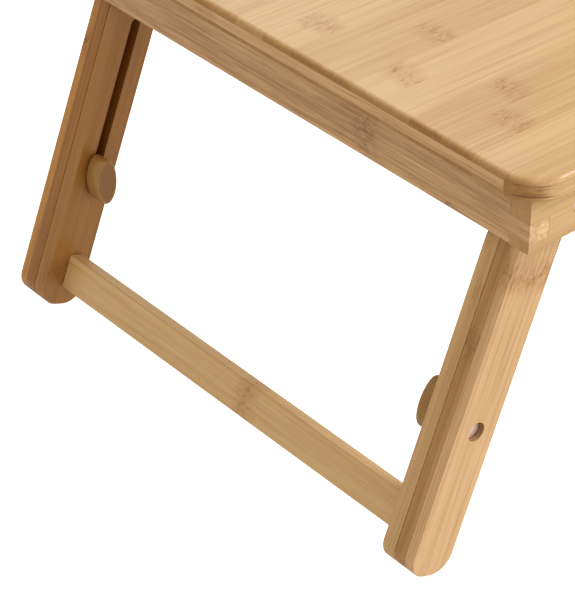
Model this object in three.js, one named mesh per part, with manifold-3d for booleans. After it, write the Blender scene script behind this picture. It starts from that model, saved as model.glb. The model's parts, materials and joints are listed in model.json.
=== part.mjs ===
// Folding bed tray. A laminated board sits on a box-jointed apron, and a leg frame
// folds under it at each end. Each frame is two halves clamped face to face: an upper
// pair of slats that hangs on the apron, and a slotted lower pair, joined by a crossbar,
// that slides down the upper pair to raise the tray.
//
// Millimetres. +X runs along the board, +Y to its rear and +Z up. The origin is on the
// floor under the middle of the board, with the legs open and pushed right in.

import * as THREE from 'three';
import { mergeVertices } from 'three/addons/utils/BufferGeometryUtils.js';
import Module from 'manifold-3d';

// Gap between pieces that touch, and round a shank in its hole.
const CLEARANCE = 0.3;

// Board.
const BOARD_LENGTH = 650;
const BOARD_WIDTH = 356;
const BOARD_THICKNESS = 12;
const BOARD_OVERHANG = 7;
const BOARD_CORNER_RADIUS = 20;
const BOARD_EDGE_ROUND = 2;

// Apron: long rails with an upper and a lower finger, end rails with one between them.
const APRON_THICKNESS = 12;
const APRON_HEIGHT = 27.5;
const LOWER_FINGER_HEIGHT = 5;
const END_FINGER_HEIGHT = 10.5;

// Dowels that hold the board down on the apron.
const DOWEL_RADIUS = 3;
const DOWEL_IN_BOARD = 7;
const DOWEL_IN_APRON = 12;
const DOWEL_SPACING = 200;

// Legs, measured from the pivot along the leg.
const LEG_SPLAY = 21;
const LEG_WIDTH = 27;
const LEG_LENGTH = 199.5;
const UPPER_SLAT_THICKNESS = 12.5;
const LOWER_SLAT_THICKNESS = 8.5;
const FOOT_RADIUS = 11;
const FOLDED_LEG_TO_BOARD = 0.6;
const PIVOT_TO_CLAMP = 122;
const SLIDE_TRAVEL = 84;
const SLOT_SPARE = 2;
const SLOT_CLEARANCE = 0.5;
const SLOT_END_WALL = 15;

// Crossbar between the two lower slats, tenoned into them.
const CROSSBAR_WIDTH = 19.5;
const CROSSBAR_THICKNESS = 8.5;
const CROSSBAR_TO_FOOT = 10.5;
const CROSSBAR_SETBACK = 12.25;
const TENON_WIDTH = 13;
const TENON_THICKNESS = 5;
const TENON_LENGTH = 5.5;

// Bolts, nuts and washers.
const BOLT_RADIUS = 2.5;
const BOLT_HEAD_RADIUS = 4.7;
const BOLT_HEAD_THICKNESS = 2.2;
const BOLT_HEAD_RECESS = 2.6;
const NUT_WALL = 1.2;
const NUT_THICKNESS = 4;
const PIVOT_WASHER_THICKNESS = 0.8;
const KNOB_WASHER_THICKNESS = 0.8;
const WASHER_RIM = 2.2;

// Clamp knob, an oval with a threaded insert. The front knobs lie along the leg and the
// rear ones stand upright.
const KNOB_LENGTH = 27;
const KNOB_WIDTH = 13.4;
const KNOB_HEIGHT = 10.5;
const KNOB_EDGE_ROUND = 1.8;
const INSERT_WALL = 0.8;
const INSERT_LENGTH = 7;

// Facets of round pieces and edges.
const ARC_STEPS = 10;
const ROUND_STEPS = 24;
const BEVEL_STEPS = 3;

// Sizes that follow from the ones above.
const APRON_LENGTH = BOARD_LENGTH - 2 * BOARD_OVERHANG;
const APRON_WIDTH = BOARD_WIDTH - 2 * BOARD_OVERHANG;
const LEG_TO_APRON = PIVOT_WASHER_THICKNESS + 2 * CLEARANCE;
const SPLAY = THREE.MathUtils.degToRad(LEG_SPLAY);
const HALF_LEG = LEG_WIDTH / 2;
const SHANK_HOLE_RADIUS = BOLT_RADIUS + CLEARANCE;
const COUNTERBORE_RADIUS = BOLT_HEAD_RADIUS + CLEARANCE;
const COUNTERBORE_DEPTH = BOLT_HEAD_RECESS + BOLT_HEAD_THICKNESS + CLEARANCE;
const SLOT_RADIUS = BOLT_RADIUS + SLOT_CLEARANCE;
const INSERT_RADIUS = SHANK_HOLE_RADIUS + INSERT_WALL;

// Distances from the middle of the tray out to the faces of the leg pieces.
const APRON_INNER_Y = APRON_WIDTH / 2 - APRON_THICKNESS;
const UPPER_OUTER_Y = APRON_INNER_Y - LEG_TO_APRON;
const UPPER_INNER_Y = UPPER_OUTER_Y - UPPER_SLAT_THICKNESS;
const LOWER_OUTER_Y = UPPER_INNER_Y - CLEARANCE;
const LOWER_INNER_Y = LOWER_OUTER_Y - LOWER_SLAT_THICKNESS;
const KNOB_WASHER_Y = LOWER_INNER_Y - CLEARANCE;
const KNOB_Y = KNOB_WASHER_Y - KNOB_WASHER_THICKNESS - CLEARANCE;

// The pivot leaves a folded leg just under the board. It stands off the end rail so
// that the splayed leg's front edge stops against the rail's lower inner edge.
const PIVOT_ABOVE_APRON = APRON_HEIGHT + CLEARANCE - FOLDED_LEG_TO_BOARD - HALF_LEG;
const PIVOT_FROM_RAIL = (HALF_LEG + CLEARANCE + PIVOT_ABOVE_APRON * Math.sin(SPLAY)) / Math.cos(SPLAY);
const PIVOT_X = APRON_LENGTH / 2 - APRON_THICKNESS - PIVOT_FROM_RAIL;
const FOOT_ABOVE_FLOOR = (HALF_LEG - FOOT_RADIUS) * Math.sin(SPLAY) + FOOT_RADIUS;
const PIVOT_Z = (LEG_LENGTH - FOOT_RADIUS) * Math.cos(SPLAY) + FOOT_ABOVE_FLOOR;
const APRON_Z = PIVOT_Z - PIVOT_ABOVE_APRON;
const BOARD_Z = APRON_Z + APRON_HEIGHT + CLEARANCE;

const wasm = await Module();
wasm.setup();

const bamboo = new THREE.MeshStandardMaterial({ color: 0xdab585, roughness: 0.5, metalness: 0 });
const bambooRail = new THREE.MeshStandardMaterial({ color: 0xcfa572, roughness: 0.5, metalness: 0 });
const birch = new THREE.MeshStandardMaterial({ color: 0xd9c39a, roughness: 0.7, metalness: 0 });
const steel = new THREE.MeshStandardMaterial({ color: 0xb9b4ae, roughness: 0.35, metalness: 1 });
const brass = new THREE.MeshStandardMaterial({ color: 0xb08d4c, roughness: 0.4, metalness: 1 });
const tanPlastic = new THREE.MeshStandardMaterial({ color: 0xb98a55, roughness: 0.4, metalness: 0 });

function toSolid(geometry) {
  const bare = geometry.index ? geometry.toNonIndexed() : geometry.clone();
  bare.deleteAttribute('normal');
  bare.deleteAttribute('uv');
  const merged = mergeVertices(bare);
  return new wasm.Manifold(new wasm.Mesh({
    numProp: 3,
    vertProperties: new Float32Array(merged.attributes.position.array),
    triVerts: new Uint32Array(merged.index.array),
  }));
}

function toGeometry(solid) {
  const mesh = solid.getMesh();
  const geometry = new THREE.BufferGeometry();
  geometry.setAttribute('position', new THREE.BufferAttribute(mesh.vertProperties, 3));
  geometry.setIndex(new THREE.BufferAttribute(mesh.triVerts, 1));
  geometry.computeVertexNormals();
  return geometry;
}

function cut(geometry, tools) {
  let solid = toSolid(geometry);
  for (const tool of tools) {
    solid = solid.subtract(toSolid(tool));
  }
  return toGeometry(solid);
}

function join(geometry, others) {
  let solid = toSolid(geometry);
  for (const other of others) {
    solid = solid.add(toSolid(other));
  }
  return toGeometry(solid);
}

// A plate whose outline is drawn in X and Z, centred on the given Y.
function plate(outline, thickness, centreY) {
  const geometry = new THREE.ExtrudeGeometry(outline, {
    depth: thickness,
    bevelEnabled: false,
    curveSegments: ARC_STEPS,
  });
  geometry.translate(0, 0, -thickness / 2);
  geometry.rotateX(Math.PI / 2);
  geometry.translate(0, centreY, 0);
  return geometry;
}

// A plain round bar along Y between two distances from the middle, on one side.
function barAlongY(radius, fromY, toY, x, z) {
  const bar = new THREE.CylinderGeometry(radius, radius, Math.abs(toY - fromY), ROUND_STEPS);
  bar.translate(x, (fromY + toY) / 2, z);
  return bar;
}

function barAlongZ(radius, lowZ, highZ, x, y) {
  const bar = new THREE.CylinderGeometry(radius, radius, highZ - lowZ, ROUND_STEPS);
  bar.rotateX(Math.PI / 2);
  bar.translate(x, y, (lowZ + highZ) / 2);
  return bar;
}

function roundHole(radius, x, z) {
  const hole = new THREE.Path();
  hole.absarc(x, z, radius, 0, 2 * Math.PI, true);
  return hole;
}

function place(parent, name, geometry, material) {
  const mesh = new THREE.Mesh(geometry, material);
  mesh.name = name;
  parent.add(mesh);
}

// Where the dowels stand: three along each long rail and one in each end rail. A name
// begins with the rail that the dowel is in.
const LONG_RAIL_Y = (APRON_WIDTH - APRON_THICKNESS) / 2;
const END_RAIL_X = (APRON_LENGTH - APRON_THICKNESS) / 2;
const DOWELS = [
  { name: 'left_end', x: -END_RAIL_X, y: 0 },
  { name: 'right_end', x: END_RAIL_X, y: 0 },
];
for (const [third, step] of [['left', -1], ['middle', 0], ['right', 1]]) {
  DOWELS.push({ name: `front_${third}`, x: step * DOWEL_SPACING, y: -LONG_RAIL_Y });
  DOWELS.push({ name: `rear_${third}`, x: step * DOWEL_SPACING, y: LONG_RAIL_Y });
}

// Board: a rounded rectangle with its top and bottom edges eased.
function board() {
  const halfLength = BOARD_LENGTH / 2 - BOARD_EDGE_ROUND;
  const halfWidth = BOARD_WIDTH / 2 - BOARD_EDGE_ROUND;
  const radius = BOARD_CORNER_RADIUS - BOARD_EDGE_ROUND;
  const outline = new THREE.Shape();
  outline.absarc(halfLength - radius, halfWidth - radius, radius, 0, Math.PI / 2);
  outline.absarc(radius - halfLength, halfWidth - radius, radius, Math.PI / 2, Math.PI);
  outline.absarc(radius - halfLength, radius - halfWidth, radius, Math.PI, 1.5 * Math.PI);
  outline.absarc(halfLength - radius, radius - halfWidth, radius, 1.5 * Math.PI, 2 * Math.PI);
  const blank = new THREE.ExtrudeGeometry(outline, {
    depth: BOARD_THICKNESS - 2 * BOARD_EDGE_ROUND,
    bevelEnabled: true,
    bevelThickness: BOARD_EDGE_ROUND,
    bevelSize: BOARD_EDGE_ROUND,
    bevelSegments: BEVEL_STEPS,
    curveSegments: ARC_STEPS,
  });
  blank.translate(0, 0, BOARD_Z + BOARD_EDGE_ROUND);
  const holeTop = BOARD_Z + DOWEL_IN_BOARD + CLEARANCE;
  return cut(blank, DOWELS.map(({ x, y }) =>
    barAlongZ(DOWEL_RADIUS + CLEARANCE, BOARD_Z - 1, holeTop, x, y)));
}

function dowelHoles(names) {
  const bottom = APRON_Z + APRON_HEIGHT - DOWEL_IN_APRON - CLEARANCE;
  return DOWELS.filter(({ name }) => names.test(name)).map(({ x, y }) =>
    barAlongZ(DOWEL_RADIUS + CLEARANCE, bottom, BOARD_Z, x, y));
}

const END_FINGER_TOP = LOWER_FINGER_HEIGHT + END_FINGER_HEIGHT;

// Long rail: a notch at each end takes the end rail's finger, and the pivot bolts
// pass through it near the ends with their heads sunk in its outer face.
function longRail(side, names) {
  const end = APRON_LENGTH / 2;
  const notch = end - APRON_THICKNESS - CLEARANCE;
  const right = [
    [end, 0],
    [end, LOWER_FINGER_HEIGHT],
    [notch, LOWER_FINGER_HEIGHT],
    [notch, END_FINGER_TOP],
    [end, END_FINGER_TOP],
    [end, APRON_HEIGHT],
  ];
  const left = right.map(([x, z]) => [-x, z]).reverse();
  const outline = new THREE.Shape([...right, ...left].map(([x, z]) => new THREE.Vector2(x, z)));
  for (const x of [-PIVOT_X, PIVOT_X]) {
    outline.holes.push(roundHole(SHANK_HOLE_RADIUS, x, PIVOT_ABOVE_APRON));
  }
  const rail = plate(outline, APRON_THICKNESS, side * LONG_RAIL_Y);
  rail.translate(0, 0, APRON_Z);
  const face = side * APRON_WIDTH / 2;
  const counterbores = [-PIVOT_X, PIVOT_X].map((x) =>
    barAlongY(COUNTERBORE_RADIUS, face + side, face - side * COUNTERBORE_DEPTH, x, PIVOT_Z));
  return cut(rail, [...counterbores, ...dowelHoles(names)]);
}

// End rail: one finger at each end, as long as the long rail is thick.
function endRail(side, names) {
  const tip = APRON_WIDTH / 2;
  const shoulder = tip - APRON_THICKNESS - CLEARANCE;
  const fingerLow = LOWER_FINGER_HEIGHT + CLEARANCE;
  const fingerHigh = END_FINGER_TOP - CLEARANCE;
  const right = [
    [shoulder, 0],
    [shoulder, fingerLow],
    [tip, fingerLow],
    [tip, fingerHigh],
    [shoulder, fingerHigh],
    [shoulder, APRON_HEIGHT],
  ];
  const left = right.map(([y, z]) => [-y, z]).reverse();
  const outline = new THREE.Shape([...right, ...left].map(([y, z]) => new THREE.Vector2(y, z)));
  const rail = plate(outline, APRON_THICKNESS, 0);
  rail.rotateZ(Math.PI / 2);
  rail.translate(side * END_RAIL_X, 0, APRON_Z);
  return cut(rail, dowelHoles(names));
}

function dowel(x, y) {
  const low = APRON_Z + APRON_HEIGHT - DOWEL_IN_APRON;
  return barAlongZ(DOWEL_RADIUS, low, BOARD_Z + DOWEL_IN_BOARD, x, y);
}

// Round-headed bolt that lies along Y, head outwards, on the side given.
function bolt(side, headOuterY, tipY) {
  const length = headOuterY - tipY;
  const profile = [
    [0, 0],
    [BOLT_HEAD_RADIUS, 0],
    [BOLT_HEAD_RADIUS, BOLT_HEAD_THICKNESS],
    [BOLT_RADIUS, BOLT_HEAD_THICKNESS],
    [BOLT_RADIUS, length],
    [0, length],
  ].map(([r, along]) => new THREE.Vector2(r, along));
  const geometry = new THREE.LatheGeometry(profile, ROUND_STEPS);
  if (side > 0) {
    geometry.rotateX(Math.PI);
  }
  geometry.translate(0, side * headOuterY, 0);
  return geometry;
}

function washer(side, outerY, thickness) {
  const outline = new THREE.Shape();
  outline.absarc(0, 0, SHANK_HOLE_RADIUS + WASHER_RIM, 0, 2 * Math.PI);
  outline.holes.push(roundHole(SHANK_HOLE_RADIUS, 0, 0));
  return plate(outline, thickness, side * (outerY - thickness / 2));
}

function nut(side, outerY) {
  const corner = (SHANK_HOLE_RADIUS + NUT_WALL) / Math.cos(Math.PI / 6);
  const outline = new THREE.Shape(Array.from({ length: 6 }, (_, i) =>
    new THREE.Vector2(corner * Math.cos(i * Math.PI / 3), corner * Math.sin(i * Math.PI / 3))));
  outline.holes.push(roundHole(SHANK_HOLE_RADIUS, 0, 0));
  return plate(outline, NUT_THICKNESS, side * (outerY - NUT_THICKNESS / 2));
}

// A leg slat seen from its face: X across the leg from front edge to heel, Z up from
// the pivot. The top is a half round about the point given, and both corners of the
// foot are rounded alike.
function slatOutline(topCentreZ) {
  const outline = new THREE.Shape();
  outline.absarc(0, topCentreZ, HALF_LEG, 0, Math.PI);
  const reach = HALF_LEG - FOOT_RADIUS;
  outline.absarc(-reach, FOOT_RADIUS - LEG_LENGTH, FOOT_RADIUS, Math.PI, 1.5 * Math.PI);
  outline.absarc(reach, FOOT_RADIUS - LEG_LENGTH, FOOT_RADIUS, 1.5 * Math.PI, 2 * Math.PI);
  return outline;
}

function upperSlat(side) {
  const outline = slatOutline(0);
  outline.holes.push(roundHole(SHANK_HOLE_RADIUS, 0, 0));
  outline.holes.push(roundHole(SHANK_HOLE_RADIUS, 0, -PIVOT_TO_CLAMP));
  const slat = plate(outline, UPPER_SLAT_THICKNESS, side * (UPPER_OUTER_Y + UPPER_INNER_Y) / 2);
  const floorY = side * (UPPER_OUTER_Y - COUNTERBORE_DEPTH);
  return cut(slat, [barAlongY(COUNTERBORE_RADIUS, side * (UPPER_OUTER_Y + 1), floorY, 0, -PIVOT_TO_CLAMP)]);
}

// Crossbar section: its front face is set back from the leg's front edge.
const CROSSBAR_X = CROSSBAR_SETBACK + CROSSBAR_THICKNESS / 2 - HALF_LEG;
const CROSSBAR_Z = CROSSBAR_TO_FOOT + CROSSBAR_WIDTH / 2 - LEG_LENGTH;

function block(sizeX, sizeY, sizeZ, centreY) {
  const box = new THREE.BoxGeometry(sizeX, sizeY, sizeZ);
  box.translate(CROSSBAR_X, centreY, CROSSBAR_Z);
  return box;
}

// Lower slat: slotted for the clamp bolt, with a mortise for the crossbar's tenon.
function lowerSlat(side) {
  const slotTop = SLIDE_TRAVEL + SLOT_SPARE - PIVOT_TO_CLAMP;
  const outline = slatOutline(slotTop + SLOT_RADIUS + SLOT_END_WALL - HALF_LEG);
  const slot = new THREE.Path();
  slot.absarc(0, slotTop, SLOT_RADIUS, 0, Math.PI);
  slot.absarc(0, -PIVOT_TO_CLAMP, SLOT_RADIUS, Math.PI, 2 * Math.PI);
  outline.holes.push(slot);
  const slat = plate(outline, LOWER_SLAT_THICKNESS, side * (LOWER_OUTER_Y + LOWER_INNER_Y) / 2);
  const depth = TENON_LENGTH + CLEARANCE;
  const mortise = block(
    TENON_THICKNESS + 2 * CLEARANCE, 2 * depth, TENON_WIDTH + 2 * CLEARANCE, side * LOWER_INNER_Y);
  return cut(slat, [mortise]);
}

function crossbar() {
  const length = 2 * (LOWER_INNER_Y - CLEARANCE);
  const bar = block(CROSSBAR_THICKNESS, length, CROSSBAR_WIDTH, 0);
  return join(bar, [block(TENON_THICKNESS, 2 * (LOWER_INNER_Y + TENON_LENGTH - CLEARANCE), TENON_WIDTH, 0)]);
}

// Knob: an oval with rounded edges and a blind hole for its insert.
const INSERT_OUTER_Y = KNOB_Y - CLEARANCE;

function knob(side, turn) {
  const outline = new THREE.Shape();
  const halfWidth = KNOB_WIDTH / 2 - KNOB_EDGE_ROUND;
  const halfLength = KNOB_LENGTH / 2 - KNOB_EDGE_ROUND;
  outline.absellipse(0, 0, halfWidth, halfLength, 0, 2 * Math.PI);
  const blank = new THREE.ExtrudeGeometry(outline, {
    depth: KNOB_HEIGHT - 2 * KNOB_EDGE_ROUND,
    bevelEnabled: true,
    bevelThickness: KNOB_EDGE_ROUND,
    bevelSize: KNOB_EDGE_ROUND,
    bevelSegments: 2,
    curveSegments: ROUND_STEPS,
  });
  blank.translate(0, 0, KNOB_EDGE_ROUND - KNOB_HEIGHT / 2);
  blank.rotateX(Math.PI / 2);
  blank.translate(0, side * (KNOB_Y - KNOB_HEIGHT / 2), 0);
  blank.rotateY(turn);
  const depth = INSERT_LENGTH + 2 * CLEARANCE;
  return cut(blank, [barAlongY(INSERT_RADIUS + CLEARANCE, side * (KNOB_Y + 1), side * (KNOB_Y - depth), 0, 0)]);
}

function insert(side) {
  const outline = new THREE.Shape();
  outline.absarc(0, 0, INSERT_RADIUS, 0, 2 * Math.PI);
  outline.holes.push(roundHole(SHANK_HOLE_RADIUS, 0, 0));
  return plate(outline, INSERT_LENGTH, side * (INSERT_OUTER_Y - INSERT_LENGTH / 2));
}

// One leg frame, drawn upright from its pivot, splayed towards -X by its group.
// The right-hand frame is the same frame turned round, so its two sides change names.
function legFrame(end, sides) {
  const frame = new THREE.Group();
  for (const [side, label] of sides) {
    const name = (piece) => `${end}_${label}_${piece}`;
    place(frame, name('upper_slat'), upperSlat(side), bambooRail);
    place(frame, name('lower_slat'), lowerSlat(side), bambooRail);

    const pivotHeadY = APRON_WIDTH / 2 - BOLT_HEAD_RECESS;
    const nutInnerY = UPPER_INNER_Y - CLEARANCE - NUT_THICKNESS;
    place(frame, name('pivot_bolt'), bolt(side, pivotHeadY, nutInnerY), steel);
    place(frame, name('pivot_washer'), washer(side, APRON_INNER_Y - CLEARANCE, PIVOT_WASHER_THICKNESS), steel);
    place(frame, name('pivot_nut'), nut(side, UPPER_INNER_Y - CLEARANCE), steel);

    const clamp = new THREE.Group();
    clamp.position.z = -PIVOT_TO_CLAMP;
    frame.add(clamp);
    const clampHeadY = UPPER_OUTER_Y - BOLT_HEAD_RECESS;
    place(clamp, name('clamp_bolt'), bolt(side, clampHeadY, INSERT_OUTER_Y - INSERT_LENGTH), steel);
    place(clamp, name('knob_washer'), washer(side, KNOB_WASHER_Y, KNOB_WASHER_THICKNESS), steel);
    place(clamp, name('knob'), knob(side, label === 'rear' ? -SPLAY : 0), tanPlastic);
    place(clamp, name('knob_insert'), insert(side), brass);
  }
  place(frame, `${end}_crossbar`, crossbar(), bamboo);
  frame.position.set(-PIVOT_X, 0, PIVOT_Z);
  frame.rotation.y = SPLAY;
  return frame;
}

const tray = new THREE.Group();
place(tray, 'board', board(), bamboo);
place(tray, 'front_rail', longRail(-1, /^front/), bambooRail);
place(tray, 'rear_rail', longRail(1, /^rear/), bambooRail);
place(tray, 'left_rail', endRail(-1, /^left/), bambooRail);
place(tray, 'right_rail', endRail(1, /^right/), bambooRail);
for (const { name, x, y } of DOWELS) {
  place(tray, `dowel_${name}`, dowel(x, y), birch);
}

tray.add(legFrame('left', [[-1, 'front'], [1, 'rear']]));
const rightEnd = new THREE.Group();
rightEnd.rotation.z = Math.PI;
rightEnd.add(legFrame('right', [[1, 'front'], [-1, 'rear']]));
tray.add(rightEnd);

export default tray;
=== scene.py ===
import json
import math
from collections import namedtuple
from functools import partial

import bmesh
import bpy
from mathutils import Matrix, Vector


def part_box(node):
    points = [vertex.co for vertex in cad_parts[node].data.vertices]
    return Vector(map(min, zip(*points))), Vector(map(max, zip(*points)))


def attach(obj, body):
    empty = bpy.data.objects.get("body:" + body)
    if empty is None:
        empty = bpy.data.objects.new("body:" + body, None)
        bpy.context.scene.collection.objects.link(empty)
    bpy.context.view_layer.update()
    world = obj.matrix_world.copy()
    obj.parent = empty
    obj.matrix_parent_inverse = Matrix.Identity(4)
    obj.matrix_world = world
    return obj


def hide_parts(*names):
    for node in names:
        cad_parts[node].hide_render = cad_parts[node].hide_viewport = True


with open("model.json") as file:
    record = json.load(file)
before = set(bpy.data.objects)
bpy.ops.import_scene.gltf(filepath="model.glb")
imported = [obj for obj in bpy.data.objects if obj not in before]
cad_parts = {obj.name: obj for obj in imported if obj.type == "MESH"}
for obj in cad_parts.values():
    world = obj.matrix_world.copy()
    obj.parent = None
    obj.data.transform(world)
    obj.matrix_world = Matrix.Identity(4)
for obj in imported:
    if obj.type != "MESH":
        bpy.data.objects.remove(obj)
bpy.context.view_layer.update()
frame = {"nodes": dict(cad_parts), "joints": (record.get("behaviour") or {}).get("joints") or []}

# ---------------------------------------------------------------------------------
# Camera. A long lens that looks down across the tray's left front corner, with the
# shift at zero and depth of field off.

lens = bpy.data.cameras.new("camera")
lens.lens = 149.36
lens.sensor_width = 36
camera = bpy.data.objects.new("camera", lens)
camera.location = (-0.9908, -0.7906, 0.78114)
camera.rotation_euler = (0.963212, -0.006019, -0.706826)
bpy.context.scene.collection.objects.link(camera)
bpy.context.scene.camera = camera

# ---------------------------------------------------------------------------------
# Studio. A pale floor that is bright enough to lose its edge, a warm even surround,
# and three soft lamps: the main one to the right of the front, a weaker one straight
# ahead of the front, and a faint one behind for the sheen.


def link(name, data):
    """An object that shows the given mesh, lamp or curve."""
    made = bpy.data.objects.new(name, data)
    bpy.context.scene.collection.objects.link(made)
    return made


def softbox(name, direction, distance, size, power, colour):
    """A square lamp that faces the tray from the direction given."""
    lamp = bpy.data.lights.new(name, "AREA")
    lamp.size = size
    lamp.energy = power
    lamp.color = colour
    made = link(name, lamp)
    away = Vector(direction).normalized()
    made.location = away * distance
    made.rotation_euler = away.to_track_quat("Z", "Y").to_euler()


bpy.context.scene.view_settings.view_transform = "Standard"
surround = bpy.data.worlds.new("surround")
surround.use_nodes = True
backdrop = surround.node_tree.nodes["Background"]
backdrop.inputs["Color"].default_value = (1.0, 0.87, 0.7, 1)
backdrop.inputs["Strength"].default_value = 0.71
bpy.context.scene.world = surround

softbox(
    "key_lamp", (0.51, -0.56, 0.64), distance=2.2, size=1.0, power=32, colour=(0.93, 0.95, 1.0))
softbox(
    "front_lamp", (0.1, -1.0, 0.35), distance=2.4, size=1.4, power=12, colour=(0.95, 0.96, 1.0))
softbox(
    "rear_lamp", (0.35, 0.75, 0.7), distance=2.4, size=1.0, power=4.5, colour=(0.95, 0.97, 1.0))

FLOOR_REACH = 30
bare = bpy.data.meshes.new("floor")
tile = bmesh.new()
bmesh.ops.create_grid(tile, x_segments=4, y_segments=4, size=FLOOR_REACH)
tile.to_mesh(bare)
tile.free()
floor = link("floor", bare)
floor.visible_diffuse = False
floor.visible_glossy = False
floor_paint = bpy.data.materials.new("pale_floor")
floor_paint.use_nodes = True
matte = floor_paint.node_tree.nodes["Principled BSDF"]
matte.inputs["Base Color"].default_value = (0.9, 0.9, 0.9, 1)
matte.inputs["Roughness"].default_value = 0.9
matte.inputs["Specular IOR Level"].default_value = 0
matte.inputs["Emission Color"].default_value = (1, 1, 1, 1)
matte.inputs["Emission Strength"].default_value = 1.0
bare.materials.append(floor_paint)

# ---------------------------------------------------------------------------------
# Board. Three plies of bamboo strips pressed together under glue: the outer two run
# along the tray, the middle one across it between two edging strips. Its corners are
# sawn round, its edges eased, and it sits on dowels that stand up out of the rails.

MM = 0.001
MIX_A, MIX_B, MIX_RESULT = 6, 7, 2
NORMAL_OUTPUT, OBJECT_OUTPUT = 1, 3


def paint(red, green, blue):
    """A colour from its 0 to 255 screen values."""
    parts = [value / 255 for value in (red, green, blue)]
    return (*[p / 12.92 if p < 0.04 else ((p + 0.055) / 1.055) ** 2.4 for p in parts], 1)


# A wood's light and dark tones, and the colour of the flecks in it.
Tones = namedtuple("Tones", "light dark fleck")
# The joints of a cane: millimetres from one to the next, where the first one lies
# along the strip, and how plainly they show, from 0 to 1.
Knuckle = namedtuple("Knuckle", "gap first strength")


class Wire:
    """An output of a node. Arithmetic on it adds Math nodes to its tree."""

    def __init__(self, socket):
        self.socket = socket

    @staticmethod
    def node(tree, kind, settings, inputs, output=0):
        """Adds a node, sets it up, then fills its sockets with values or wires."""
        made = tree.nodes.new(kind)
        for name, value in settings.items():
            setattr(made, name, value)
        for name, value in inputs.items():
            for part in value if isinstance(value, list) else [value]:
                if isinstance(part, Wire):
                    tree.links.new(part.socket, made.inputs[name])
                else:
                    made.inputs[name].default_value = part
        return Wire(made.outputs[output])

    def math(self, operation, *others):
        return Wire.combine(self.socket.id_data, operation, self, *others)

    @staticmethod
    def combine(tree, operation, *values):
        return Wire.node(tree, "ShaderNodeMath", {"operation": operation}, dict(enumerate(values)))

    def __add__(self, other):
        return self.math("ADD", other)

    def __mul__(self, other):
        return self.math("MULTIPLY", other)

    def __sub__(self, other):
        return self.math("SUBTRACT", other)

    def __rsub__(self, other):
        return Wire.combine(self.socket.id_data, "SUBTRACT", other, self)

    def __truediv__(self, other):
        return self.math("DIVIDE", other)

    __radd__ = __add__
    __rmul__ = __mul__

    def floor(self):
        return self.math("FLOOR")

    def absolute(self):
        return self.math("ABSOLUTE")

    def scaled(self, factor):
        settings = {"operation": "SCALE"}
        return Wire.node(
            self.socket.id_data, "ShaderNodeVectorMath", settings, {0: self, "Scale": factor})

    def rise(self, low, high):
        """0 up to low, 1 from high, and smooth between them."""
        ends = {"Value": self, "From Min": low, "From Max": high}
        kind = {"interpolation_type": "SMOOTHSTEP"}
        return Wire.node(self.socket.id_data, "ShaderNodeMapRange", kind, ends)


def blend(tree, factor, first, second, how="MIX"):
    """Two colours mixed by a factor."""
    settings = {"data_type": "RGBA", "blend_type": how, "clamp_factor": True}
    inputs = {0: factor, MIX_A: first, MIX_B: second}
    return Wire.node(tree, "ShaderNodeMix", settings, inputs, MIX_RESULT)


def vector(tree, *parts):
    """A vector of three numbers, each a value or a wire."""
    return Wire.node(tree, "ShaderNodeCombineXYZ", {}, dict(enumerate(parts)))


def parts_of(tree, wire):
    """A vector's or a colour's three numbers."""
    split = Wire.node(tree, "ShaderNodeSeparateXYZ", {}, {0: wire}).socket.node
    return [Wire(part) for part in split.outputs]


def chance(tree, first, second):
    """Three even random numbers from 0 to 1 that hang on two numbers."""
    settings = {"noise_dimensions": "2D"}
    colour = Wire.node(
        tree, "ShaderNodeTexWhiteNoise", settings, {"Vector": vector(tree, first, second, 0)}, 1)
    return parts_of(tree, colour)


def cloud(tree, place, detail=2.0, roughness=0.5):
    """Noise from 0 to 1 with one lump to each unit of its place."""
    inputs = {"Vector": place, "Scale": 1.0, "Detail": detail, "Roughness": roughness}
    return Wire.node(tree, "ShaderNodeTexNoise", {}, inputs)


def streaks(tree, place, along_scale, across_scale, detail, roughness):
    """Noise drawn out along the fibres. The scales are in lumps to a millimetre."""
    along, across, deep = place
    stretched = vector(tree, along * along_scale, across * across_scale, deep * across_scale)
    return cloud(tree, stretched, detail, roughness)


def object_place(tree):
    return Wire.node(tree, "ShaderNodeTexCoord", {}, {}, OBJECT_OUTPUT)


def object_facing(tree):
    return Wire.node(tree, "ShaderNodeTexCoord", {}, {}, NORMAL_OUTPUT)


def place_on(tree, axes, origin):
    """Millimetres along the fibres, across the strips and through the layers, and the
    surface's direction in the same three."""
    turn = Matrix([Vector(axis) for axis in axes]).transposed().to_euler()
    settings = {"vector_type": "TEXTURE"}
    where = {
        "Vector": object_place(tree), "Location": origin, "Rotation": turn, "Scale": (MM, MM, MM)}
    facing = {"Vector": object_facing(tree), "Rotation": turn}
    place = Wire.node(tree, "ShaderNodeMapping", settings, where)
    return (
        parts_of(tree, place),
        parts_of(tree, Wire.node(tree, "ShaderNodeMapping", settings, facing)),
    )


# In millimetres: how far the grain may slide from one strip to the next, half of a
# knuckle's width at full strength and where it has faded out, how far its middle
# strays and bows across the strip, and how far the fibres bend round it.
GRAIN_SLIDE = 400.0
KNUCKLE_FULL, KNUCKLE_END = 3.0, 11.0
KNUCKLE_STRAY, KNUCKLE_BOW = 9.0, 9.0
FIBRE_BEND = 7.0
# How far each thing draws a strip from its light tone towards its dark one.
BROAD_SHADE, FINE_SHADE, TONE_SHADE, PATCH_SHADE, THREAD_SHADE = 1.7, 1.3, 0.5, 0.5, 0.22
BASE_SHADE = 0.42
# How strongly a knuckle's parts, its glints painted in as highlights, and a glued seam show over
# that.
BAND_TINT, MARK_TINT, RIDGE_TINT, GLINT_HIGHLIGHT_TINT, SEAM_TINT = 0.27, 0.95, 0.25, 0.6, 0.55


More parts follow.
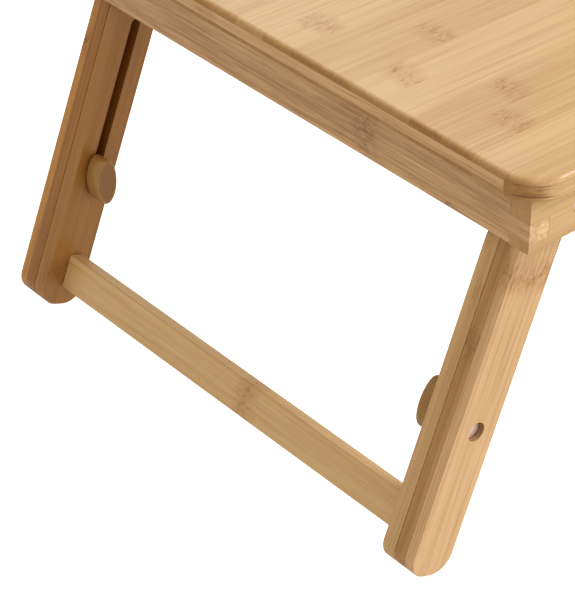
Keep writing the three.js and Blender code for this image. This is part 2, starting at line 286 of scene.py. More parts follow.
def strips(tree, place, sort, width, tones, knuckle, contrast=1.0):
    """Colour and relief of bamboo strips laid side by side.

    Each strip has long fibres, a tone of its own, and now and then a knuckle: a band
    of short flecks where the cane had a joint. sort tells one layer from another."""
    along, across, deep = place
    lane = across / width
    number = lane.floor()
    spot = lane - number
    tone, phase, glue = chance(tree, number, sort)
    slid = (along + tone * GRAIN_SLIDE, across, deep)
    broad = streaks(tree, slid, 0.006, 0.4, 4.0, 0.62)
    fine = streaks(tree, slid, 0.025, 1.5, 3.0, 0.7)
    threads = streaks(tree, slid, 0.03, 1.1, 2.0, 0.6).rise(0.56, 0.72)
    patch = cloud(tree, vector(tree, slid[0] * 0.012, number, sort), 1.0)

    pitch = (along - knuckle.first) / knuckle.gap + phase + 0.5
    middle = (pitch - pitch.floor() - 0.5) * knuckle.gap
    wander = cloud(tree, vector(tree, number, across * 0.2, sort), 1.0)
    bow = (spot - 0.5) * (spot - 0.5)
    middle = middle + (wander - 0.5) * KNUCKLE_STRAY + bow * KNUCKLE_BOW
    band = (1 - middle.absolute().rise(KNUCKLE_FULL, KNUCKLE_END)) * knuckle.strength
    swirl = cloud(tree, vector(tree, along * 0.13, across * 0.16, deep * 0.16 + sort), 2.0) - 0.5
    bent = swirl * band * FIBRE_BEND
    flecks = streaks(tree, (along + bent, across + bent, deep), 0.17, 0.95, 3.0, 0.6)
    marks = flecks.rise(0.51, 0.6) * band * (0.5 + swirl * 2.0)
    # Painted highlights: light flecks between the knuckle's marks, where light would catch its
    # wrinkles. They also stand a little proud in the relief.
    painted_glints = (1 - flecks).rise(0.54, 0.66) * band
    ridge = (1 - (middle + bent).absolute().rise(0.2, 1.3)) * knuckle.strength

    edge = (0.5 - (spot - 0.5).absolute()) * width
    seam = (1 - edge.rise(0.03, 0.3)) * glue.rise(0.55, 0.95)

    shade = (broad - 0.5) * BROAD_SHADE + (fine - 0.5) * FINE_SHADE * contrast
    shade = shade + (tone - 0.5) * TONE_SHADE + (patch - 0.5) * PATCH_SHADE
    shade = shade + threads * THREAD_SHADE * contrast + BASE_SHADE
    colour = blend(tree, shade, tones.light, tones.dark)
    colour = blend(tree, band * BAND_TINT, colour, tones.fleck)
    colour = blend(tree, marks * MARK_TINT + ridge * RIDGE_TINT, colour, tones.fleck)
    colour = blend(tree, painted_glints * GLINT_HIGHLIGHT_TINT, colour, tones.light)
    colour = blend(tree, seam * SEAM_TINT, colour, tones.fleck)
    relief = fine * 0.5 + broad * 0.2 - threads * 0.3 - seam * 1.2 - marks * 0.6 + painted_glints * 0.3
    return colour, relief


def bumps(tree, height, strength, depth):
    """A surface direction for relief of the depth given, in metres."""
    inputs = {"Strength": strength, "Distance": depth, "Height": height}
    return Wire.node(tree, "ShaderNodeBump", {}, inputs)


def join(material, wires):
    """Links wires to the sockets of a material's surface."""
    surface = material.node_tree.nodes["Principled BSDF"]
    for name, wire in wires.items():
        material.node_tree.links.new(wire.socket, surface.inputs[name])
    return surface


GRAIN_DEPTH = 0.00005
EASED_BROWN = (0.96, 0.86, 0.7, 1)
LACQUER_COAT, LACQUER_ROUGH = 0.36, 0.36


def lacquer(material, colour, relief, ends, eased, soak, stains=()):
    """Joins a pattern to satin lacquer over wood. Sawn ends take up the lacquer, which
    multiplies their colour by soak, and the eased edges are made a little browner.
    Each stain is an amount and a colour laid over the rest."""
    tree = material.node_tree
    ends = ends.rise(0.35, 0.9)
    soaked = blend(tree, 1.0, colour, (*soak, 1), "MULTIPLY")
    colour = blend(tree, ends, colour, soaked)
    # The eased edges are made a little browner.
    browned = blend(tree, 1.0, colour, EASED_BROWN, "MULTIPLY")
    colour = blend(tree, eased.rise(0.02, 0.2) * 0.7, colour, browned)
    for amount, stain in stains:
        colour = blend(tree, amount, colour, stain)
    mottle = cloud(tree, object_place(tree).scaled(70.0))
    surface = join(material, {
        "Base Color": colour,
        "Roughness": LACQUER_ROUGH + mottle * 0.12 + ends * 0.1,
        "Normal": bumps(tree, relief, 0.5, GRAIN_DEPTH),
        "Coat Weight": LACQUER_COAT - ends * 0.15,
    })
    surface.inputs["Coat Roughness"].default_value = 0.2


def eased_edge(facing):
    """0 on a flat face and more where the surface turns between two of them."""
    along, across, deep = [part.absolute() for part in facing]
    return 1 - along.math("MAXIMUM", across).math("MAXIMUM", deep)


def new_material(name):
    made = bpy.data.materials.new(name)
    made.use_nodes = True
    return made


X, Y, Z = Vector((1, 0, 0)), Vector((0, 1, 0)), Vector((0, 0, 1))
PALE = Tones(paint(214, 182, 134), paint(188, 147, 95), paint(166, 113, 50))
TAN = Tones(paint(219, 183, 137), paint(171, 127, 78), paint(148, 92, 36))
BOARD_SOAK = (0.62, 0.48, 0.29)
GLUE_BROWN, SAW_BURN, SLIT_SHADE = paint(122, 82, 42), paint(120, 72, 18), paint(66, 36, 10)

board_low, board_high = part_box("board")
BOARD_CORNER = 0.02
# In millimetres: the outer plies' strips and how far they lie off the tray's middle,
# the middle ply's strips, its two faces, half the blur of a glued face, the edging
# strips beside it, and half the thickness of a glue line.
BOARD_STRIP, BOARD_SHIFT = 20.3, 2.0
CORE_STRIP = 24.0
CORE_LOW, CORE_HIGH = 3.1, 8.6
PLY_BLUR = 0.02
EDGING = 18.0
GLUE_LINE = 0.12
BOARD_SEED, CORE_SEED, THIRST_SEED = 59405, 5.0, 3.0
BOARD_KNUCKLE = Knuckle(gap=236.0, first=80.5, strength=0.9)
CORE_KNUCKLE = Knuckle(gap=260.0, first=80.0, strength=0.6)


def board_bamboo():
    """Three plies, with glue lines that show at the rim. The sawn corners are scorched
    and gape a little along the glue, where the gaps are painted in as dark slits of shade."""
    material = new_material("board_bamboo")
    tree = material.node_tree
    (along, across, deep), facing = place_on(
        tree, (X, Y, Z), (0, BOARD_SHIFT * MM, board_low.z))
    half_depth = (board_high.y - board_low.y) / 2 / MM
    outer = ((across + BOARD_SHIFT).absolute() - (half_depth - EDGING)).rise(-PLY_BLUR, PLY_BLUR)
    layer = deep.rise(CORE_LOW - PLY_BLUR, CORE_LOW + PLY_BLUR)
    layer = layer + deep.rise(CORE_HIGH - PLY_BLUR, CORE_HIGH + PLY_BLUR)
    middle = 1 - (layer - 1).absolute()
    lengthwise, relief = strips(
        tree, (along, across, deep), BOARD_SEED - layer, BOARD_STRIP, PALE, BOARD_KNUCKLE, 0.8)
    crosswise, cross_relief = strips(
        tree, (across, along, deep), CORE_SEED, CORE_STRIP, TAN, CORE_KNUCKLE, 2.0)
    crossing = middle * (1 - outer)
    colour = blend(tree, crossing, lengthwise, crosswise)
    relief = relief + (cross_relief - relief) * crossing
    low_glue = (deep - CORE_LOW).absolute()
    high_glue = (deep - CORE_HIGH).absolute()
    glue = 1 - low_glue.math("MINIMUM", high_glue).rise(0.0, GLUE_LINE * 2)
    corner = facing[0].absolute() * facing[1].absolute()
    bubble = cloud(tree, vector(tree, along * 0.09, across * 0.09, deep * 0.4), 2.0)
    gape = 1 - low_glue.math("MINIMUM", high_glue + 0.1).rise(0.1, 0.4)
    # Painted shade: the thin gaps along the glue at the corners are not cut, but drawn as dark
    # slits.
    slit_shade = gape * corner.rise(0.2, 0.4) * (1 - bubble).rise(0.4, 0.5)
    burn = middle * corner.rise(0.3, 0.5) * (1 - bubble).rise(0.5, 0.64)
    colour = blend(tree, glue * 0.25, colour, GLUE_BROWN)
    thirst = chance(tree, (across / BOARD_STRIP).floor(), THIRST_SEED + layer)[0]
    ends = facing[0].absolute() * (1 - crossing) * (0.7 + thirst * 0.4)
    ends = ends + facing[1].absolute() * crossing
    stains = ((burn * 0.5, SAW_BURN), (slit_shade * 0.85, SLIT_SHADE))
    lacquer(
        material, colour, relief - glue * 0.5, ends, eased_edge(facing), BOARD_SOAK, stains)
    return material


def grown_tree(name, sizes):
    """An empty Geometry Nodes tree with named inputs, and a wire from each of them."""
    tree = bpy.data.node_groups.new(name, "GeometryNodeTree")
    tree.interface.new_socket("Geometry", in_out="INPUT", socket_type="NodeSocketGeometry")
    for size in sizes:
        kind = "NodeSocketMaterial" if size == "Material" else "NodeSocketFloat"
        tree.interface.new_socket(size, in_out="INPUT", socket_type=kind)
    tree.interface.new_socket("Geometry", in_out="OUTPUT", socket_type="NodeSocketGeometry")
    given = tree.nodes.new("NodeGroupInput")
    return tree, {socket.name: Wire(socket) for socket in given.outputs if socket.name}


def end_tree(tree, shape, material):
    """Realize Instances and Set Material, then the tree's output."""
    solid = Wire.node(tree, "GeometryNodeRealizeInstances", {}, {0: shape})
    done = Wire.node(tree, "GeometryNodeSetMaterial", {}, {0: solid, "Material": material})
    tree.links.new(done.socket, tree.nodes.new("NodeGroupOutput").inputs[0])


def grow(name, tree, base, sizes):
    """A plain object made by a Geometry Nodes tree from a base mesh."""
    made = link(name, base)
    modifier = made.modifiers.new(name, "NODES")
    modifier.node_group = tree
    for item in tree.interface.items_tree:
        if item.in_out == "INPUT" and item.name in sizes:
            modifier[item.identifier] = sizes[item.name]
    bpy.context.view_layer.update()
    shown = made.evaluated_get(bpy.context.evaluated_depsgraph_get())
    mesh = bpy.data.meshes.new_from_object(shown)
    made.modifiers.clear()
    made.data = mesh
    return made


WELD = 0.000001


def slab(tree, outline, thickness):
    """A closed plate of the thickness given on a filled outline."""
    add = partial(Wire.node, tree)
    face = add("GeometryNodeFillCurve", {"mode": "NGONS"}, {0: outline})
    lifted = add(
        "GeometryNodeExtrudeMesh", {},
        {"Mesh": face, "Offset Scale": thickness, "Individual": False})
    under = add("GeometryNodeFlipFaces", {}, {0: face})
    both = add("GeometryNodeJoinGeometry", {}, {0: [lifted, under]})
    return add("GeometryNodeMergeByDistance", {}, {0: both, "Distance": WELD})


def board_tree():
    """A plate with round corners, drilled from below at each point of the base mesh."""
    tree, size = grown_tree("board", (
        "Length", "Width", "Corner", "Thickness", "Height", "Socket", "Socket Depth", "Material"))
    add = partial(Wire.node, tree)
    outline = add(
        "GeometryNodeCurvePrimitiveQuadrilateral", {},
        {"Width": size["Length"], "Height": size["Width"]})
    outline = add(
        "GeometryNodeFilletCurve", {"mode": "POLY"},
        {"Curve": outline, "Count": 14, "Radius": size["Corner"], "Limit Radius": True})
    plate = slab(tree, outline, size["Thickness"])
    plate = add(
        "GeometryNodeTransform", {},
        {"Geometry": plate, "Translation": vector(tree, 0.0, 0.0, size["Height"])})
    drill = add(
        "GeometryNodeMeshCylinder", {},
        {"Vertices": 32, "Radius": size["Socket"], "Depth": size["Socket Depth"] * 2})
    drills = add(
        "GeometryNodeInstanceOnPoints", {}, {"Points": size["Geometry"], "Instance": drill})
    drills = add("GeometryNodeRealizeInstances", {}, {0: drills})
    plate = add(
        "GeometryNodeMeshBoolean", {"operation": "DIFFERENCE"},
        {"Mesh 1": plate, "Mesh 2": drills})
    plate = add("GeometryNodeSetShadeSmooth", {}, {"Geometry": plate})
    end_tree(tree, plate, size["Material"])
    return tree


SHARP_ANGLE = 0.6


def ease(piece, width, rule, segments=3):
    """Rounds a piece's edges by a live Bevel. rule gives each sharp edge its share of
    the width, from 0 to 1."""
    cut = bmesh.new()
    cut.from_mesh(piece.data)
    share = cut.edges.layers.float.new("bevel_weight_edge")
    for edge in cut.edges:
        if len(edge.link_faces) == 2 and edge.calc_face_angle() > SHARP_ANGLE:
            edge[share] = rule((edge.verts[0].co + edge.verts[1].co) / 2)
            edge.smooth = False
    for face in cut.faces:
        face.smooth = True
    cut.to_mesh(piece.data)
    cut.free()
    bevel = piece.modifiers.new("eased", "BEVEL")
    bevel.limit_method = "WEIGHT"
    bevel.width = width
    bevel.segments = segments
    bevel.harden_normals = True


dowel_names = [name for name in frame["nodes"] if name.startswith("dowel_")]
dowel_boxes = [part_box(name) for name in dowel_names]
dowel_low, dowel_high = dowel_boxes[0]
FIT = 0.0003
socket_spots = [
    Vector(((low.x + high.x) / 2, (low.y + high.y) / 2, board_low.z)) for low, high in dowel_boxes]
sockets = bpy.data.meshes.new("sockets")
sockets.from_pydata(socket_spots, [], [])
board = grow("board_top", board_tree(), sockets, {
    "Length": board_high.x - board_low.x,
    "Width": board_high.y - board_low.y,
    "Corner": BOARD_CORNER,
    "Thickness": board_high.z - board_low.z,
    "Height": board_low.z,
    "Socket": (dowel_high.x - dowel_low.x) / 2 + FIT,
    "Socket Depth": dowel_high.z + FIT - board_low.z,
    "Material": board_bamboo(),
})
BOARD_ROUND, BOARD_LOWER_SHARE = 0.0034, 0.55
SOCKET_REACH = 0.006


def board_rim(point):
    """The rim is eased, more so above than below. The dowel sockets are left sharp."""
    if any((point.xy - spot.xy).length < SOCKET_REACH for spot in socket_spots):
        return 0.0
    return 1.0 if point.z > (board_low.z + board_high.z) / 2 else BOARD_LOWER_SHARE


ease(board, BOARD_ROUND, board_rim, 5)
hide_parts("board")
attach(board, "root")

# ---------------------------------------------------------------------------------
# Rails. Four planed bamboo lengths, box-jointed and glued at the corners under the
# board. Only their long outer corners are eased, so that the fingers meet square.

FLAT_ANGLE = 0.01


def copied(node, name):
    """A copy of a CAD node as one closed mesh with whole faces."""
    cut = bmesh.new()
    cut.from_mesh(frame["nodes"][node].data)
    bmesh.ops.remove_doubles(cut, verts=cut.verts, dist=WELD * 2)
    bmesh.ops.dissolve_limit(cut, angle_limit=FLAT_ANGLE, verts=cut.verts, edges=cut.edges)
    mesh = bpy.data.meshes.new(name)
    cut.to_mesh(mesh)
    cut.free()
    mesh.materials.clear()
    return link(name, mesh)


STREAKED = Tones(paint(218, 182, 136), paint(155, 110, 66), paint(136, 86, 42))
END_SOAK = (0.8, 0.72, 0.62)
STREAKED_SOAK = (1.22, 1.32, 1.45)
RAIL_SEEDS = {"front": 8.0, "rear": 7.0, "left": 7.0, "right": 8.0}
RAIL_KNUCKLE = Knuckle(gap=250.0, first=87.6, strength=0.9)
# A rail is sawn from pressed bamboo: in millimetres, how thick its layers are and how
# wide its strips. In metres, how far above its lower edge a strip begins.
RAIL_LAYER, RAIL_STRIP = 6.5, 24.4
RAIL_STRIP_LIFT = 0.0031


def rail_bamboo(name, axes, origin, tones, seed, knuckle, contrast=1.3, soak=END_SOAK):
    """Straight-grained bamboo. The grain is calmer on the sawn ends."""
    material = new_material(name)
    tree = material.node_tree
    place, facing = place_on(tree, axes, origin)
    layer = ((place[2].absolute() + 1) / RAIL_LAYER).floor()
    sawn = facing[0].absolute()
    colour, relief = strips(
        tree, place, layer + seed, RAIL_STRIP, tones, knuckle,
        contrast * (1 - sawn.rise(0.4, 0.9) * 0.75))
    lacquer(material, colour, relief, sawn, eased_edge(facing), soak)
    return material


JOINT_GROWTH = 0.00014
JOINT_REACH = 0.014
SQUARE_ON, ON_PLANE = 0.99, 0.0001


def close_joints(rail, low, high):
    """Grows the fingers and shoulders at a rail's ends until they all but touch."""
    cut = bmesh.new()
    cut.from_mesh(rail.data)
    cut.normal_update()
    run = 0 if high.x - low.x > high.y - low.y else 1
    moves = {}
    for vertex in cut.verts:
        if min(abs(vertex.co[run] - low[run]), abs(vertex.co[run] - high[run])) > JOINT_REACH:
            continue
        move = Vector((0, 0, 0))
        for face in vertex.link_faces:
            for axis in range(3):
                pointing = face.normal[axis]
                rim = high[axis] if pointing > 0 else low[axis]
                if abs(pointing) > SQUARE_ON and abs(vertex.co[axis] - rim) > ON_PLANE:
                    move[axis] = math.copysign(JOINT_GROWTH, pointing)
        moves[vertex] = move
    for vertex, move in moves.items():
        vertex.co += move
    cut.to_mesh(rail.data)
    cut.free()


def long_corner(low, high, face_axis, point):
    """1 on a corner that runs the whole length of the rail, 0 on the fingers."""
    return float(all(
        min(abs(point[axis] - low[axis]), abs(point[axis] - high[axis])) < ON_PLANE
        for axis in (face_axis, 2)))


EDGE_ROUND = 0.0009
for side, seed in RAIL_SEEDS.items():
    node = side + "_rail"
    low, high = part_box(node)
    rail = copied(node, side + "_apron")
    close_joints(rail, low, high)
    lift = low.z + RAIL_STRIP_LIFT
    if side in ("front", "rear"):
        face_axis = 1
        finish = rail_bamboo(
            rail.name, (X, Z, -Y), (0, low.y, lift), PALE, seed, RAIL_KNUCKLE)
    else:
        face_axis = 0
        finish = rail_bamboo(
            rail.name, (Y, Z, X), (low.x, 0, lift), STREAKED, seed, RAIL_KNUCKLE,
            contrast=2.0, soak=STREAKED_SOAK)
    ease(rail, EDGE_ROUND, partial(long_corner, low, high, face_axis))
    rail.data.materials.append(finish)
    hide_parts(node)
    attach(rail, "root")

# ---------------------------------------------------------------------------------
# Dowels. Plain turned beech pins, glued upright into holes drilled in the rails. They
# stand a few millimetres proud, and hold the board down in its place.

BEECH = Tones(paint(214, 196, 160), paint(188, 160, 118), paint(160, 124, 82))
BEECH_KNUCKLE = Knuckle(gap=400.0, first=80.0, strength=0.2)


def dowel_wood():
    """Upright grain, all of one strip. A round pin has no eased edge."""
    material = new_material("dowel_wood")
    tree = material.node_tree
    place, facing = place_on(tree, (Z, X, Y), (0, 0, board_low.z))
    colour, relief = strips(tree, place, 2.0, 90.0, BEECH, BEECH_KNUCKLE)
    lacquer(material, colour, relief, facing[0].absolute(), eased_edge(facing) * 0, END_SOAK)
    return material


dowel_finish = dowel_wood()
for name in dowel_names:
    frame["nodes"][name].data.materials.clear()
    frame["nodes"][name].data.materials.append(dowel_finish)

# ---------------------------------------------------------------------------------
# Leg slats. Each side of a leg is two planed slats face to face. The outer one is
# glued up from two strips, hangs on the pivot bolt and is counterbored for the clamp
# bolt. The inner one is slotted and slides along it. Both feet are sawn round.

joints = {joint["name"]: joint for joint in frame["joints"]}
BROWN = Tones(paint(192, 149, 90), paint(150, 104, 52), paint(120, 76, 30))
BORE_SHADE = paint(116, 64, 14)
# How much darker the rear slats are made than the front ones.
UPPER_REAR_TINT, LOWER_REAR_TINT = (0.82, 0.63, 0.26, 1), (0.6, 0.42, 0.18, 1)
SLAT_SEEDS = {"left": 86, "right": 116}
LOWER_SEED_STEP = 11
SLAT_KNUCKLE = Knuckle(gap=245.0, first=84.2, strength=1.0)
# In millimetres: how far from the middle of the tray the two layers of an upper and of
# a lower slat meet, a strip's width and how far its edge lies off the slat's middle,
# half the blur between two layers, the length at each end without holes, and the half
# width that the slot's and the holes' walls stay within, blurred from one to the other.
UPPER_SEAM, LOWER_SEAM = 152.3, 140.0
SLAT_STRIP, SLAT_SHIFT = 40.0, 20.0
LAYER_BLUR = 0.04
SOLID_END = 10.0
WALL_LOW, WALL_HIGH = 5.8, 6.4


def slat_bamboo(name, axes, origin, reach, seam_depth, seed, tones, rear_tint):
    """Two layers through the slat's thickness, mirrored front and rear, that meet at
    seam_depth. tones are the outer and the inner layer's, and reach is the slat's two
    ends along its fibres, in millimetres. The rear slats are made darker, and the
    drilled and slotted walls are darkened with painted shade."""
    material = new_material(name)
    tree = material.node_tree
    (along, across, deep), facing = place_on(tree, axes, origin)
    outer = deep.absolute().rise(seam_depth - LAYER_BLUR, seam_depth + LAYER_BLUR)
    rear = deep.rise(-1.0, 1.0)
    sort = outer * 2 + rear * 5 + seed
    shifted = (along, across + SLAT_SHIFT, deep)
    outer_colour, outer_relief = strips(tree, shifted, sort, SLAT_STRIP, tones[0], SLAT_KNUCKLE)
    inner_colour, inner_relief = strips(tree, shifted, sort, SLAT_STRIP, tones[1], SLAT_KNUCKLE)
    colour = blend(tree, outer, inner_colour, outer_colour)
    colour = blend(tree, rear, colour, blend(tree, 1.0, colour, rear_tint, "MULTIPLY"))
    middle, half = (reach[0] + reach[1]) / 2, (reach[1] - reach[0]) / 2
    bored = 1 - (along - middle).absolute().rise(half - SOLID_END, half - SOLID_END + 1)
    bored = bored * (1 - across.absolute().rise(WALL_LOW, WALL_HIGH))
    bored = bored * (1 - facing[2].absolute().rise(0.4, 0.9))
    # Painted shade: the walls of the bolt holes and of the slot are darkened where shade falls
    # inside them.
    colour = blend(tree, bored * 0.65, colour, BORE_SHADE)
    relief = inner_relief + (outer_relief - inner_relief) * outer
    sawn = facing[0].absolute() * (1 - bored)
    lacquer(material, colour, relief, sawn, eased_edge(facing) * (1 - bored), END_SOAK)
    return material


HOLE_SHARE = 0.35
HOLE_REACH, HOLE_MARGIN = 0.009, 8.0


def slat_edge(pivot, down, reach, point):
    """The outline is eased fully, and the rims of holes only a little."""
    away = point - pivot
    drop = away.dot(down) / MM
    aside = abs(away.dot(down.cross(Y)))
    inside = reach[0] + HOLE_MARGIN < drop < reach[1] - HOLE_MARGIN and aside < HOLE_REACH
    return HOLE_SHARE if inside else 1.0


for end in ("left", "right"):
    pivot = Vector(joints[end + "_leg_fold"]["pos_m"])
    down = Vector(joints[end + "_leg_extend"]["axis"])
    for layer, seam_depth, tones, rear_tint, seed in (
        ("upper", UPPER_SEAM, (TAN, BROWN), UPPER_REAR_TINT, SLAT_SEEDS[end]),
        ("lower", LOWER_SEAM, (PALE, PALE), LOWER_REAR_TINT, SLAT_SEEDS[end] + LOWER_SEED_STEP),
    ):
        wood = frame["nodes"][f"{end}_front_{layer}_slat"].data
        drops = [(vertex.co - pivot).dot(down) / MM for vertex in wood.vertices]
        reach = (min(drops), max(drops))
        finish = slat_bamboo(
            f"{end}_{layer}_bamboo", (down, Y.cross(down), Y), pivot, reach, seam_depth, seed,
            tones, rear_tint)
        for side in ("front", "rear"):
            node = f"{end}_{side}_{layer}_slat"
            slat = copied(node, f"{end}_{side}_{layer}_leg")
            ease(slat, EDGE_ROUND, partial(slat_edge, pivot, down, reach))
            slat.data.materials.append(finish)
            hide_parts(node)
            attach(slat, f"{end}_{layer}_leg")

# ---------------------------------------------------------------------------------
# Crossbars. One planed bar at each end, tenoned and glued between the two inner
# slats just above the feet.

HONEY = Tones(paint(222, 191, 141), paint(198, 159, 106), paint(166, 113, 50))
CROSSBAR_KNUCKLE = Knuckle(gap=270.0, first=54.9, strength=1.0)
CROSSBAR_SEED = 11.0
CROSSBAR_RISE = 0.012
SHOULDER_GAP, SHOULDER_CLEAR = 0.0004, 0.001


def bar_edge(shoulder, point):
    """The four long corners are eased, and the tenons are left square."""
    return float(abs(point.y) < shoulder - SHOULDER_CLEAR)


for end in ("left", "right"):
    node = end + "_crossbar"
    down = Vector(joints[end + "_leg_extend"]["axis"])
    low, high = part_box(node)
    bar = copied(node, end + "_stretcher")
    shoulder = min(abs(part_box(f"{end}_front_lower_slat")[1].y), abs(high.y)) - SHOULDER_GAP
    ease(bar, EDGE_ROUND, partial(bar_edge, shoulder))
    bar.data.materials.append(rail_bamboo(
        bar.name, (Y, down, Y.cross(down)), (low + high) / 2 - down * CROSSBAR_RISE, HONEY,
        CROSSBAR_SEED, CROSSBAR_KNUCKLE))
    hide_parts(node)
    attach(bar, end + "_lower_leg")

# ---------------------------------------------------------------------------------
# Bolts. Zinc-plated, with a low turned head sunk in a counterbore: one through each
# long rail as the pivot, one through each outer slat for the clamp knob.

# Both zinc colours carry a pink cast, a painted reflection of the brown wood round the bolts, over
# the plating's own grey.
ZINC_DULL, ZINC_BRIGHT = (0.92, 0.77, 0.76, 1), (1.0, 0.9, 0.89, 1)
TURNING_DEPTH = 0.00005
SCALAR_OUTPUT = 2


def zinc():
    """Metal with blotches in its plating and fine turning marks round each axis."""
    material = new_material("zinc_plate")
    tree = material.node_tree
    radius = Wire.node(
        tree, "ShaderNodeAttribute", {"attribute_name": "turned_radius"}, {}, SCALAR_OUTPUT)
    blotch = cloud(tree, object_place(tree).scaled(420.0), 3.0, 0.6)
    scratch = cloud(tree, vector(tree, radius * 9000.0, blotch * 2.0, 0.0), 2.0)
    surface = join(material, {
        "Base Color": blend(tree, blotch.rise(0.3, 0.7), ZINC_DULL, ZINC_BRIGHT),
        "Roughness": 0.4 + blotch * 0.12 + scratch * 0.08,
        "Normal": bumps(tree, scratch, 0.35, TURNING_DEPTH),
    })
    surface.inputs["Metallic"].default_value = 1
    return material


def turned(tree, outline, steps):
    """A closed body turned on a lathe: a flat face, then steps along the axis, each
    with its length and how much wider it leaves the work."""
    add = partial(Wire.node, tree)
    face = add("GeometryNodeFillCurve", {"mode": "NGONS"}, {0: outline})
    body, top = face, True
    for length, wider in steps:
        body = add(
            "GeometryNodeExtrudeMesh", {},
            {"Mesh": body, "Offset Scale": length, "Individual": False, "Selection": top})
        top = Wire(body.socket.node.outputs["Top"])
        body = add(
            "GeometryNodeScaleElements", {"domain": "FACE"},
            {"Geometry": body, "Selection": top, "Scale": wider})
    back = add("GeometryNodeFlipFaces", {}, {0: face})
    both = add("GeometryNodeJoinGeometry", {}, {0: [body, back]})
    return add("GeometryNodeMergeByDistance", {}, {0: both, "Distance": WELD})


def stand(tree, points, piece):
    """Copies of a piece on points, each along that point's outward direction, with
    the distance from its own axis kept as an attribute."""
    add = partial(Wire.node, tree)
    x, y = parts_of(tree, add("GeometryNodeInputPosition", {}, {}))[:2]
    radius = (x * x + y * y).math("SQRT")
    piece = add(
        "GeometryNodeStoreNamedAttribute", {"data_type": "FLOAT", "domain": "POINT"},
        {"Geometry": piece, "Name": "turned_radius", "Value": radius})
    outward = add(
        "GeometryNodeInputNamedAttribute", {"data_type": "FLOAT_VECTOR"}, {"Name": "outward"})
    turn = add("FunctionNodeAlignRotationToVector", {"axis": "Z"}, {"Vector": outward})
    return add(
        "GeometryNodeInstanceOnPoints", {},
        {"Points": points, "Instance": piece, "Rotation": turn})


def bolt_tree():
    """A bolt whose head's outer face is at its point and whose shank runs inwards."""
    tree, size = grown_tree(
        "bolt", ("Head Radius", "Head Height", "Shank Radius", "Length", "Round", "Material"))
    add = partial(Wire.node, tree)
    head, shank, rim = size["Head Radius"], size["Shank Radius"], size["Round"]
    flat = head * 0.55
    crown = add(
        "GeometryNodeCurvePrimitiveCircle", {"mode": "RADIUS"}, {"Resolution": 40, "Radius": flat})
    steps = [
        (rim * 0.35, (head - rim) / flat),
        (rim * 0.65, head / (head - rim)),
        (size["Head Height"] - rim * 1.4, 1.0),
        (rim * 0.4, (head - rim * 0.4) / head),
        (0.0, shank / (head - rim * 0.4)),
        (size["Length"] - size["Head Height"] - rim, 1.0),
        (rim, (shank - rim) / shank),
    ]
    bolt = turned(tree, crown, steps)
    bolt = add(
        "GeometryNodeTransform", {}, {"Geometry": bolt, "Rotation": (math.pi, 0.0, 0.0)})
    end_tree(tree, stand(tree, size["Geometry"], bolt), size["Material"])
    return tree


def seats(name, spots):
    """Loose points, each with the direction out of the tray."""
    mesh = bpy.data.meshes.new(name)
    mesh.from_pydata([spot for spot, outward in spots], [], [])
    way = mesh.attributes.new("outward", "FLOAT_VECTOR", "POINT")
    for value, (spot, outward) in zip(way.data, spots):
        value.vector = outward
    return mesh


def outer_spot(node):
    """The middle of a node's face that looks away from the tray's middle."""
    low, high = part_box(node)
    middle = (low + high) / 2
    outward = Y if middle.y > 0 else -Y
    middle.y = high.y if middle.y > 0 else low.y
    return middle, outward


def hardware(name, tree, nodes, sizes, body):
    """Like pieces of zinc-plated steel in the places of the CAD nodes given."""
    made = grow(name, tree, seats(name, [outer_spot(node) for node in nodes]), sizes)
    for face in made.data.polygons:
        face.use_smooth = True
    made.data.set_sharp_from_angle(angle=SHARP_ANGLE)
    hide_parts(*nodes)
    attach(made, body)
    return made


zinc_plate = zinc()
bolt_maker = bolt_tree()
low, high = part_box("left_front_pivot_bolt")
bolt_sizes = {
    "Head Radius": (high.x - low.x) / 2,
    "Head Height": 0.0022,
    "Shank Radius": 0.0025,
    "Round": 0.0005,
    "Length": high.y - low.y,
    "Material": zinc_plate,
}
corners = [f"{end}_{side}_" for end in ("left", "right") for side in ("front", "rear")]
hardware("pivot_bolts", bolt_maker, [c + "pivot_bolt" for c in corners], bolt_sizes, "root")
for end in ("left", "right"):
    nodes = [f"{end}_{side}_clamp_bolt" for side in ("front", "rear")]
    low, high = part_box(nodes[0])
    bolt_sizes["Length"] = high.y - low.y
    hardware(end + "_clamp_bolts", bolt_maker, nodes, bolt_sizes, end + "_upper_leg")

# ---------------------------------------------------------------------------------
# Washers and nuts. Punched washers keep the legs off the rails and the knobs off the
# slats, and a hexagon nut locks each pivot bolt inside the leg.


def ring_tree():
    """A ring with its outer face at its point. Six sides make it a nut."""
    tree, size = grown_tree("ring", ("Radius", "Bore", "Thickness", "Sides", "Material"))
    add = partial(Wire.node, tree)
    circle = partial(add, "GeometryNodeCurvePrimitiveCircle", {"mode": "RADIUS"})
    outline = circle({"Resolution": size["Sides"], "Radius": size["Radius"]})
    bore = circle({"Resolution": 36, "Radius": size["Bore"]})
    rings = add("GeometryNodeJoinGeometry", {}, {0: [outline, bore]})
    ring = slab(tree, rings, size["Thickness"])
    ring = add(
        "GeometryNodeTransform", {},
        {"Geometry": ring, "Translation": vector(tree, 0.0, 0.0, size["Thickness"] * -1.0)})
    end_tree(tree, stand(tree, size["Geometry"], ring), size["Material"])
    return tree


ring_maker = ring_tree()
BORE = 0.0028
ROUND_SIDES, NUT_SIDES = 40, 6
RING_ROUND = 0.00012


def rings(name, nodes, sides, body):
    """Washers or nuts of the CAD nodes' size, with their corners just broken."""
    low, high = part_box(nodes[0])
    across = high.x - low.x if sides == NUT_SIDES else high.z - low.z
    made = hardware(name, ring_maker, nodes, {
        "Radius": across / 2, "Bore": BORE, "Thickness": high.y - low.y, "Sides": sides,
        "Material": zinc_plate,
    }, body)
    bevel = made.modifiers.new("eased", "BEVEL")
    bevel.width = RING_ROUND
    bevel.segments = 2
    bevel.harden_normals = True


